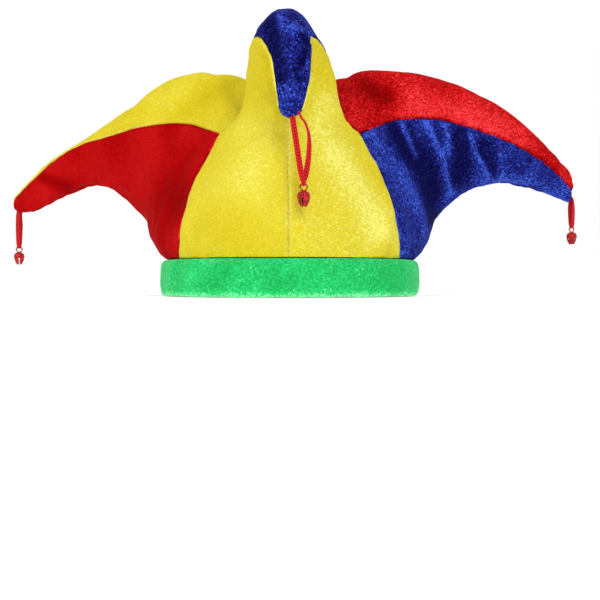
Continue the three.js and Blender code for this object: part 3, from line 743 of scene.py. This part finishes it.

# The seams' valleys and puckers, the folds that show, and the painted light and shade along them: paler where
# the cloth rises and darker in hollows. A fold's line is seen from the front, and a negative height is a
# hollow.
FOLDS = [
    {"panel": "right_horn_face_front", "wide": 0.0090, "high": 0.0010, "sheen_and_shade": 0.25,
     "line": [(0.0605, 0.1253), (0.0718, 0.1119), (0.0832, 0.0966), (0.0970, 0.0708), (0.1094, 0.0565)]},
    {"panel": "right_horn_face_front", "wide": 0.0030, "high": 0.0020, "sheen_and_shade": 0.85,
     "line": [(0.0861, 0.1363), (0.0927, 0.1245), (0.0988, 0.1115)]},
    {"panel": "right_horn_face_front", "wide": 0.0034, "high": 0.0028, "sheen_and_shade": 0.46,
     "line": [(0.1056, 0.1389), (0.1134, 0.1258), (0.1209, 0.1110), (0.1253, 0.0978), (0.1299, 0.0866)]},
    {"panel": "right_horn_face_front", "wide": 0.0036, "high": 0.0018, "sheen_and_shade": 0.42,
     "line": [(0.1234, 0.1379), (0.1261, 0.1272), (0.1266, 0.1161)]},
    {"panel": "right_horn_face_front", "wide": 0.0030, "high": 0.0025, "sheen_and_shade": 0.55,
     "line": [(0.1451, 0.1311), (0.1508, 0.1161), (0.1624, 0.1008)]},
    {"panel": "right_horn_face_front", "wide": 0.0026, "high": 0.0014, "sheen_and_shade": 0.32,
     "line": [(0.1724, 0.1163), (0.1767, 0.0997)]},
    {"panel": "right_horn_face_front", "wide": 0.0070, "high": 0.0003, "sheen_and_shade": 0.28,
     "line": [(0.1228, 0.0766), (0.1326, 0.0843), (0.1532, 0.0965), (0.1773, 0.0979), (0.2036, 0.0941),
              (0.2333, 0.0856)]},
    {"panel": "right_horn_face_front", "wide": 0.0105, "high": -0.0018, "sheen_and_shade": -0.6,
     "line": [(0.0844, 0.1325), (0.0927, 0.1181), (0.1051, 0.1036), (0.1141, 0.0844), (0.1148, 0.0632)]},
    {"panel": "right_horn_face_front", "wide": 0.0100, "high": -0.0015, "sheen_and_shade": -0.55,
     "line": [(0.1372, 0.1323), (0.1388, 0.1135), (0.1399, 0.0960)]},
    {"panel": "right_horn_face_front", "wide": 0.0090, "high": -0.0010, "sheen_and_shade": -0.45,
     "line": [(0.1577, 0.1231), (0.1663, 0.1054)]},
    {"panel": "front_horn_back", "wide": 0.0042, "high": -0.0012, "sheen_and_shade": -0.55,
     "line": [(-0.0150, 0.1960), (-0.0128, 0.1800), (-0.0109, 0.1675), (-0.0086, 0.1570), (-0.0076, 0.1487)]},
    {"panel": "front_horn_back", "wide": 0.0060, "high": 0.0006, "sheen_and_shade": -0.15,
     "line": [(-0.0187, 0.1941), (-0.0231, 0.1893)]},
    {"panel": "front_horn_back", "wide": 0.0042, "high": 0.0012, "sheen_and_shade": 0.30,
     "line": [(-0.0083, 0.1960), (-0.0036, 0.1886), (0.0028, 0.1840), (0.0085, 0.1817)]},
    {"panel": "front_horn_back", "wide": 0.0022, "high": -0.0020, "sheen_and_shade": -0.15,
     "line": [(-0.0027, 0.1990), (-0.0018, 0.1890)]},
    {"panel": "front_horn_back", "wide": 0.0036, "high": -0.0016, "sheen_and_shade": -0.60,
     "line": [(0.0088, 0.1785), (0.0115, 0.1731), (0.0098, 0.1660), (0.0081, 0.1604)]},
    {"panel": "front_horn_back", "wide": 0.0014, "high": 0.0008, "sheen_and_shade": 0.30,
     "line": [(0.0118, 0.1835), (0.0151, 0.1780), (0.0135, 0.1692), (0.0115, 0.1625), (0.0105, 0.1566)]},
    {"panel": "front_horn_back", "wide": 0.0045, "high": -0.0006, "sheen_and_shade": -0.30,
     "line": [(0.0027, 0.1535), (0.0062, 0.1474)]},
    {"panel": "front_horn_back", "wide": 0.0075, "high": 0.0, "sheen_and_shade": 0.08,
     "line": [(0.0, 0.1380), (0.0, 0.1270)]},
    # Rows of height 0 change no shape and only paint light and shade: paler zones, as on the front horn's right
    # face and up its left face's column, and darker zones, as on the left horn's top.
    {"panel": "front_horn_face_left", "wide": 0.0170, "high": 0.0, "sheen_and_shade": -0.06,
     "line": [(-0.0150, 0.0330), (-0.0434, 0.0380)]},
    {"panel": "front_horn_face_left", "wide": 0.0200, "high": 0.0, "sheen_and_shade": 0.26,
     "line": [(-0.0296, 0.0821), (-0.0258, 0.1135)]},
    {"panel": "front_horn_face_right", "wide": 0.0130, "high": 0.0, "sheen_and_shade": 0.35,
     "line": [(0.0300, 0.1000), (0.0480, 0.0800), (0.0620, 0.0500)]},
    {"panel": "front_horn_face_right", "wide": 0.0300, "high": 0.0, "sheen_and_shade": 0.12,
     "line": [(0.0200, 0.0900), (0.0350, 0.0500)]},
    {"panel": "front_horn_face_right", "wide": 0.0120, "high": 0.0, "sheen_and_shade": 0.30,
     "line": [(0.0232, 0.1394), (0.0178, 0.1208)]},
    {"panel": "left_horn_top", "wide": 0.0100, "high": 0.0, "sheen_and_shade": 0.08,
     "line": [(-0.1100, 0.1560), (-0.0880, 0.1600)]},
    {"panel": "left_horn_top", "wide": 0.0120, "high": 0.0, "sheen_and_shade": -0.25,
     "line": [(-0.0800, 0.1463), (-0.0466, 0.1750)]},
    {"panel": "left_horn_face_front", "wide": 0.0160, "high": -0.0006, "sheen_and_shade": -0.25,
     "line": [(-0.0944, 0.0820), (-0.0855, 0.0700)]},
    {"panel": "left_horn_face_front", "wide": 0.0040, "high": -0.0010, "sheen_and_shade": -0.25,
     "line": [(-0.2141, 0.0998), (-0.1924, 0.0917)]},
    {"panel": "right_horn_top", "wide": 0.0090, "high": -0.0006, "sheen_and_shade": -0.40,
     "line": [(0.0600, 0.1660), (0.0736, 0.1601)]},
    {"panel": "right_horn_top", "wide": 0.0180, "high": 0.0, "sheen_and_shade": 0.24,
     "line": [(0.1000, 0.1560), (0.1536, 0.1436), (0.1906, 0.1328)]},
]
SEAM_DEPTH = 0.0014
SEAM_WIDTH = 0.0018
PUCKER_HEIGHT = 0.0007
PUCKER_PITCH = 0.011
PUCKER_REACH = 0.009
DENT_HEIGHT = 0.0006
DENT_PITCH = 0.032
DENT_CLEAR = 0.02
FOLD_CLEAR = 0.006
SEAM_LIGHT_REACH = 0.0016
SEAM_AT_TIP = 0.2
STILL_SHARE = 0.35
SHADE_SWING = 0.22
FOOT_START = 0.0283
FOOT_RAMP = 0.004


def beside(places, line):
    """The distance of each place from a bent line, both seen from the front as (x, z)."""
    flat = places[:, [0, 2]]
    best = np.full(len(flat), 9.0)
    for a, b in zip(line, line[1:]):
        a = np.array(a)
        way = np.array(b) - a
        share = np.clip(((flat - a) @ way) / (way @ way), 0, 1)
        best = np.minimum(best, np.linalg.norm(flat - a - share[:, None] * way, axis=1))
    return best


def place_and_shade(piece, places, sheen_and_shade, sparkle):
    """Moves the piece's points, and writes the painted sheen and shade and how much it sparkles at each of
    them.
    """
    piece.data.vertices.foreach_set("co", places.ravel())
    for name, values in (("sheen_and_shade", np.clip(sheen_and_shade, 0, 1)), ("sparkle", sparkle)):
        painted_tone = piece.data.attributes.new(name, "FLOAT", "POINT")
        painted_tone.data.foreach_set("value", values.astype(np.float32))
    piece.data.update()


def finish_velvet(piece):
    """Sinks the seams, raises puckers and folds, and writes the painted light and shade at each point, paler
    where the cloth rises and darker where it sinks, and how much it sparkles.
    """
    shape = bmesh.new()
    shape.from_mesh(piece.data)
    layer = shape.faces.layers.int["panel"]
    near, far = seam_distances(shape)
    places = np.array([vert.co for vert in shape.verts])
    normals = np.array([vert.normal for vert in shape.verts])
    owner = np.array([vert.link_faces[0][layer] for vert in shape.verts])
    shape.free()
    pucker = np.array([noise.noise(place / PUCKER_PITCH) for place in near])
    dent = np.array([noise.noise(Vector(place) / DENT_PITCH) for place in places])
    sparkle = np.array([row["sparkle"] for row in PANELS])[owner]
    rim = np.array([row["rim"] for row in PANELS])[owner]
    sunk = np.exp(-((far / SEAM_WIDTH) ** 2))
    close = np.min([np.linalg.norm(places - np.array(tip["place"]), axis=1) for tip in TIPS], axis=0)
    move = -SEAM_DEPTH * sunk * np.clip(close / TIP_FULL, SEAM_AT_TIP, 1)
    move += PUCKER_HEIGHT * pucker * (1 - sunk) * np.exp(-far / PUCKER_REACH)
    move += DENT_HEIGHT * dent * np.clip(far / DENT_CLEAR, 0, 1)
    lively = STILL_SHARE + (1 - STILL_SHARE) * sparkle
    # Painted light and shade: paler where the dents and puckers rise and darker where they sink, then painted
    # sheen or painted seam shadow along the seams, and each fold's painted light and shade.
    sheen_and_shade = 0.5 + SHADE_SWING * lively * (dent + pucker * np.exp(-far / PUCKER_REACH))
    sheen_and_shade += rim * np.exp(-((far / SEAM_LIGHT_REACH) ** 2))
    for fold in FOLDS:
        on = owner == names.index(fold["panel"])
        share = np.exp(-((beside(places[on], fold["line"]) / fold["wide"]) ** 2))
        move[on] += fold["high"] * share * np.clip(far[on] / FOLD_CLEAR, 0, 1)
        sheen_and_shade[on] += fold["sheen_and_shade"] * share
    foot = np.clip((places[:, 2] - FOOT_START) / FOOT_RAMP, 0, 1)
    place_and_shade(piece, places + normals * (move * foot)[:, None], sheen_and_shade, sparkle)


finish_velvet(shell)

TUFT_SCALE = 900
TUFT_SPREAD = 0.9
CLOUD_SCALE = 110
CLOUD_SPREAD = 0.25
BRIGHT_TUFTS = 0.93
BRIGHT_LIFT = 0.4
VELVETS = [
    {"slot": "velvet_yellow", "deep": (0.50, 0.385, 0.008), "body": (0.61, 0.495, 0.016),
     "bright": (0.67, 0.590, 0.052), "speck": (0.80, 0.76, 0.17), "sheen": 0.06},
    {"slot": "velvet_red", "deep": (0.18, 0.0002, 0.001), "body": (0.345, 0.0002, 0.0008),
     "bright": (0.66, 0.012, 0.014), "speck": (0.84, 0.055, 0.06), "sheen": 0.0},
    {"slot": "velvet_blue", "deep": (0.002, 0.002, 0.040), "body": (0.008, 0.010, 0.13),
     "bright": (0.018, 0.030, 0.28), "speck": (0.048, 0.11, 0.64), "sheen": 0.05},
    {"slot": "velvet_green", "deep": (0.007, 0.22, 0.050), "body": (0.013, 0.43, 0.100),
     "bright": (0.030, 0.64, 0.18), "speck": (0.34, 0.90, 0.48), "sheen": 0.45},
]


def velvet(row):
    """Short pile with random grain: its colour runs from deep in painted shade to pale in painted sheen, and
    single bright tufts carry painted glints.
    """
    material = plain_material(row["slot"], row["body"], 0.9)
    tree = material.node_tree
    shader = tree.nodes["Principled BSDF"]
    coords = tree.nodes.new("ShaderNodeTexCoord").outputs["Object"]
    tufts = tree.nodes.new("ShaderNodeTexVoronoi")
    tufts.inputs["Scale"].default_value = TUFT_SCALE
    tree.links.new(coords, tufts.inputs["Vector"])
    tuft = tree.nodes.new("ShaderNodeSeparateColor")
    tree.links.new(tufts.outputs["Color"], tuft.inputs["Color"])
    cloud = tree.nodes.new("ShaderNodeTexNoise")
    cloud.inputs["Scale"].default_value = CLOUD_SCALE
    cloud.inputs["Detail"].default_value = 4.0
    cloud.inputs["Roughness"].default_value = 0.65
    cloud.inputs["Distortion"].default_value = 0.3
    tree.links.new(coords, cloud.inputs["Vector"])
    sheen_and_shade = tree.nodes.new("ShaderNodeAttribute")
    sheen_and_shade.attribute_name = "sheen_and_shade"
    sparkle = tree.nodes.new("ShaderNodeAttribute")
    sparkle.attribute_name = "sparkle"
    lively = sparkle.outputs["Fac"]
    grain = mixed(tree, "MULTIPLY", mixed(tree, "SUBTRACT", tuft.outputs["Red"], 0.5), TUFT_SPREAD)
    bright_tuft = mixed(tree, "GREATER_THAN", tuft.outputs["Green"], BRIGHT_TUFTS)
    grain = mixed(tree, "ADD", grain, mixed(tree, "MULTIPLY", bright_tuft, BRIGHT_LIFT))
    soft = mixed(tree, "MULTIPLY", mixed(tree, "SUBTRACT", cloud.outputs["Fac"], 0.5), CLOUD_SPREAD)
    grain = mixed(tree, "MULTIPLY", mixed(tree, "ADD", grain, soft), lively)
    # The painted sheen and shade from the mesh, and the grain with its painted glints, together pick the
    # colour.
    painted_tone = mixed(tree, "ADD", sheen_and_shade.outputs["Fac"], grain)
    ramp = tree.nodes.new("ShaderNodeValToRGB")
    ramp.color_ramp.elements[0].color = (*row["deep"], 1)
    ramp.color_ramp.elements[0].position = 0.08
    ramp.color_ramp.elements[1].color = (*row["speck"], 1)
    ramp.color_ramp.elements[1].position = 1.0
    for at, color in ((0.45, row["body"]), (0.75, row["bright"])):
        stop = ramp.color_ramp.elements.new(at)
        stop.color = (*color, 1)
    tree.links.new(painted_tone, ramp.inputs["Fac"])
    tree.links.new(ramp.outputs["Color"], shader.inputs["Base Color"])
    rough = tree.nodes.new("ShaderNodeMapRange")
    rough.inputs["To Min"].default_value = 1.0
    rough.inputs["To Max"].default_value = 0.7
    tree.links.new(painted_tone, rough.inputs["Value"])
    tree.links.new(rough.outputs["Result"], shader.inputs["Roughness"])
    bump = tree.nodes.new("ShaderNodeBump")
    bump.inputs["Strength"].default_value = 0.45
    bump.inputs["Distance"].default_value = 0.0004
    tree.links.new(mixed(tree, "MULTIPLY", tuft.outputs["Blue"], lively), bump.inputs["Height"])
    tree.links.new(bump.outputs["Normal"], shader.inputs["Normal"])
    shader.inputs["Specular IOR Level"].default_value = 0.03
    shader.inputs["Sheen Weight"].default_value = row["sheen"]
    shader.inputs["Sheen Roughness"].default_value = 0.4
    shader.inputs["Sheen Tint"].default_value = (*row["speck"], 1)
    return material


VELVET = {row["slot"]: velvet(row) for row in VELVETS}
panel_of = np.zeros(len(shell.data.polygons), dtype=np.int32)
shell.data.attributes["panel"].data.foreach_get("value", panel_of)
for number, row in enumerate(PANELS):
    copy = put(row["node"].replace("_horn", "") + "_panel", shell.data.copy())
    alone(copy)
    bpy.ops.object.mode_set(mode="EDIT")
    bpy.ops.mesh.select_mode(type="FACE")
    bpy.ops.mesh.select_all(action="DESELECT")
    edit = bmesh.from_edit_mesh(copy.data)
    layer = edit.faces.layers.int["panel"]
    for face in edit.faces:
        face.select = face[layer] != number
    bmesh.update_edit_mesh(copy.data)
    bpy.ops.mesh.delete(type="FACE")
    bpy.ops.object.mode_set(mode="OBJECT")
    full = copy.vertex_groups.new(name="full")
    for vert in copy.data.vertices:
        full.add([vert.index], min(1.0, to_tip(vert.co) / TIP_FULL), "REPLACE")
    wall = copy.modifiers.new("wall", "SOLIDIFY")
    wall.thickness = CLOTH_THICKNESS
    wall.offset = -1
    wall.use_rim = True
    wall.vertex_group = "full"
    wall.thickness_vertex_group = TIP_THIN
    wall.thickness_clamp = 2.0
    settle(copy)
    bpy.ops.object.shade_smooth()
    copy.data.materials.append(VELVET[row["slot"]])
    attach(copy, "root")
    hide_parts(row["node"])
bpy.data.objects.remove(shell)

# Padded band.
# A strip of green velvet wrapped round a roll of wadding and folded over the rim, so that it also covers the
# inside. Its colour carries painted sheen, paler where the roll bends at the lower edge and at the top seam,
# and painted light and shade, paler where it swells and darker where it dents.
BAND_FULLNESS = 0.02
BAND_PRESSURE = 0.4
BAND_MOST = 0.0012
BAND_PILE = 0.0005
BAND_DENT = {"pitch": 0.019, "high": 0.0006, "sheen_and_shade": 0.13}
BAND_WAVE = {"pitch": 0.007, "share": 0.3, "sheen_and_shade": 0.06}
LOW_BEND = {"reach": 0.0036, "sheen_and_shade": 0.45}
TOP_BEND = {"reach": 0.0022, "sheen_and_shade": 0.10}
TOP_HELD = 0.0012
TOP_CLEAR = 0.004
BAND_SPARKLE = 0.38


def rounded_copy(node, name):
    """A merged copy of a solid in even quads, rounded off."""
    copy = put(name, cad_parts[node].data.copy())
    alone(copy)
    bpy.ops.object.mode_set(mode="EDIT")
    bpy.ops.mesh.select_all(action="SELECT")
    bpy.ops.mesh.remove_doubles(threshold=SAME_PLACE)
    bpy.ops.mesh.tris_convert_to_quads(face_threshold=FLAT_ENOUGH, shape_threshold=SQUARE_ENOUGH)
    bpy.ops.object.mode_set(mode="OBJECT")
    round_off(copy, 2)
    return copy


band = rounded_copy("band", "band_pad")
band_top = band_high[2]
below_top = np.abs(points(band, "co")[:, 2] - band_top)
puff(band, below_top < TOP_HELD, below_top, BAND_FULLNESS, BAND_PRESSURE, BAND_MOST)
round_off(band, 1)
places = points(band, "co")
dent = np.array([noise.noise(Vector(place) / BAND_DENT["pitch"]) for place in places])
wave = np.array([noise.noise(Vector(place) / BAND_WAVE["pitch"]) for place in places])
below_top = band_top - places[:, 2]
swell = BAND_PILE + BAND_DENT["high"] * (dent + BAND_WAVE["share"] * wave)
swollen = places + points(band, "normal") * (swell * np.clip(below_top / TOP_CLEAR, 0, 1))[:, None]
swollen[:, 2] = np.maximum(swollen[:, 2], 0.0)
# Painted light and shade: paler where the band swells and darker where it dents, and painted sheen along the
# lower bend and the top seam.
sheen_and_shade = 0.5 + BAND_DENT["sheen_and_shade"] * dent + BAND_WAVE["sheen_and_shade"] * wave
sheen_and_shade += LOW_BEND["sheen_and_shade"] * np.exp(-((places[:, 2] / LOW_BEND["reach"]) ** 2))
sheen_and_shade += TOP_BEND["sheen_and_shade"] * np.exp(-((below_top / TOP_BEND["reach"]) ** 2))
place_and_shade(band, swollen, sheen_and_shade, np.full(len(places), BAND_SPARKLE))
alone(band)
bpy.ops.object.shade_smooth()
band.data.materials.clear()
band.data.materials.append(VELVET["velvet_green"])
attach(band, "root")
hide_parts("band")

# Lining.
# A dome of thin black cloth in a plain weave, gathered a little at the crown and sewn to the inside of the
# band's top.
LINING_WRINKLE = 0.0008
LINING_HEM = 0.12
CREASES = {"round": 3.2, "up": 1.3, "deep": 0.9}
GATHERS = {"round": 7, "up": 0.5, "deep": 0.7}
THREAD_SCALE = 330
PATCH_SCALE = 60


def lining_weave():
    """Matt black plain weave: warp and weft pass over each other, a little paler where they stand proud, in
    cloudy patches.
    """
    material = plain_material("lining_black", (0.012, 0.009, 0.011), 0.85)
    tree = material.node_tree
    shader = tree.nodes["Principled BSDF"]
    coords = tree.nodes.new("ShaderNodeTexCoord").outputs["Object"]
    threads = []
    for direction in ("X", "Z"):
        thread = tree.nodes.new("ShaderNodeTexWave")
        thread.wave_type = "BANDS"
        thread.bands_direction = direction
        thread.inputs["Scale"].default_value = THREAD_SCALE
        thread.inputs["Distortion"].default_value = 0.6
        tree.links.new(coords, thread.inputs["Vector"])
        threads.append(thread.outputs["Fac"])
    weave = mixed(tree, "MULTIPLY", threads[0], threads[1])
    patches = tree.nodes.new("ShaderNodeTexNoise")
    patches.inputs["Scale"].default_value = PATCH_SCALE
    patches.inputs["Detail"].default_value = 4
    tree.links.new(coords, patches.inputs["Vector"])
    tone = tree.nodes.new("ShaderNodeValToRGB")
    tone.color_ramp.elements[0].color = (0.006, 0.0045, 0.006, 1)
    tone.color_ramp.elements[1].color = (0.030, 0.022, 0.027, 1)
    # The colour is paler where the threads stand proud, more so in some cloudy patches.
    proud = mixed(tree, "ADD", weave, 0.4)
    tree.links.new(mixed(tree, "MULTIPLY", proud, patches.outputs["Fac"]), tone.inputs["Fac"])
    tree.links.new(tone.outputs["Color"], shader.inputs["Base Color"])
    relief = tree.nodes.new("ShaderNodeBump")
    relief.inputs["Strength"].default_value = 0.4
    relief.inputs["Distance"].default_value = 0.0002
    tree.links.new(weave, relief.inputs["Height"])
    tree.links.new(relief.outputs["Normal"], shader.inputs["Normal"])
    shader.inputs["Specular IOR Level"].default_value = 0.2
    shader.inputs["Sheen Weight"].default_value = 0.1
    return material


def wander(kind, turn, rise):
    """How far the cloth strays at each turn round the dome and rise up it, from -1 to 1."""
    return np.array([
        noise.noise(Vector((math.cos(a) * kind["round"], math.sin(a) * kind["round"], r * kind["up"])))
        for a, r in zip(turn, rise)
    ])


lining = rounded_copy("lining", "lining_cloth")
places = points(lining, "co")
lining_low, lining_high = places[:, 2].min(), places[:, 2].max()
away = np.column_stack((places[:, 0] - AXIS[0], places[:, 1] - AXIS[1], places[:, 2] - lining_low))
away /= np.maximum(np.linalg.norm(away, axis=1), 1e-6)[:, None]
turn = np.arctan2(away[:, 1], away[:, 0])
rise = (places[:, 2] - lining_low) / (lining_high - lining_low)
folded = 1 + CREASES["deep"] * wander(CREASES, turn, rise)
folded += GATHERS["deep"] * wander(GATHERS, turn, rise) * rise
inward = -LINING_WRINKLE * folded * np.clip(rise / LINING_HEM, 0, 1)
lining.data.vertices.foreach_set("co", (places + away * inward[:, None]).ravel())
lining.data.update()
alone(lining)
bpy.ops.object.shade_smooth()
lining.data.materials.clear()
lining.data.materials.append(lining_weave())
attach(lining, "root")
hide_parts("lining")
